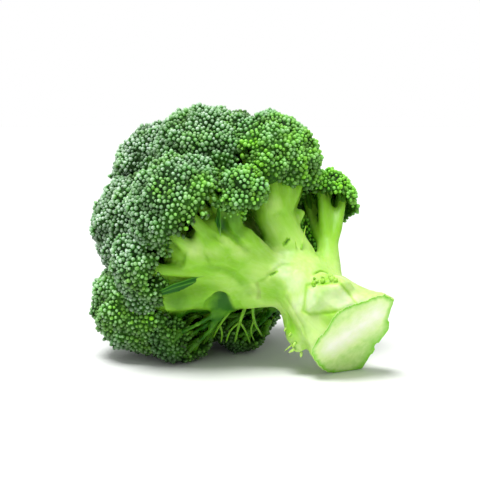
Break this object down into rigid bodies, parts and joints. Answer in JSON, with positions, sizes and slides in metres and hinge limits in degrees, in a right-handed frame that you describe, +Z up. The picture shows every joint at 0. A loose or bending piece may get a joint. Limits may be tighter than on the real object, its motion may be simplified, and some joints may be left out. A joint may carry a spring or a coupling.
{
  "type": "broccoli head",
  "caption": "Trimmed broccoli head lying on its side, with a branching stem, rounded florets of buds and small leaves",
  "frame": {"origin": "centre of the box of the whole head, at the surface that it lies on", "axes": "+X from the crown towards the cut end of the stem, +Y across, +Z up"},
  "size_m": [0.1622, 0.1264, 0.127],
  "materials": {
    "stalk": "fresh pale green plant flesh, satin",
    "buds": "waxy grey-green buds, matte",
    "leaf": "dark green leaf, satin"
  },
  "bodies": {
    "root": {"stalk": "stalk", "floret_top_right": "buds", "floret_top": "buds", "floret_small": "buds", "floret_front": "buds", "floret_front_left": "buds", "floret_front_low": "buds", "floret_low_left": "buds", "floret_low_front": "buds", "floret_low": "buds", "floret_low_back": "buds", "floret_back_low": "buds", "floret_back": "buds", "floret_right": "buds", "floret_back_top": "buds", "floret_left_back": "buds", "floret_left": "buds", "floret_left_low": "buds", "floret_top_left": "buds", "leaf_front_low": "leaf", "leaf_top": "leaf", "leaf_right": "leaf"}
  },
  "joints": []
}
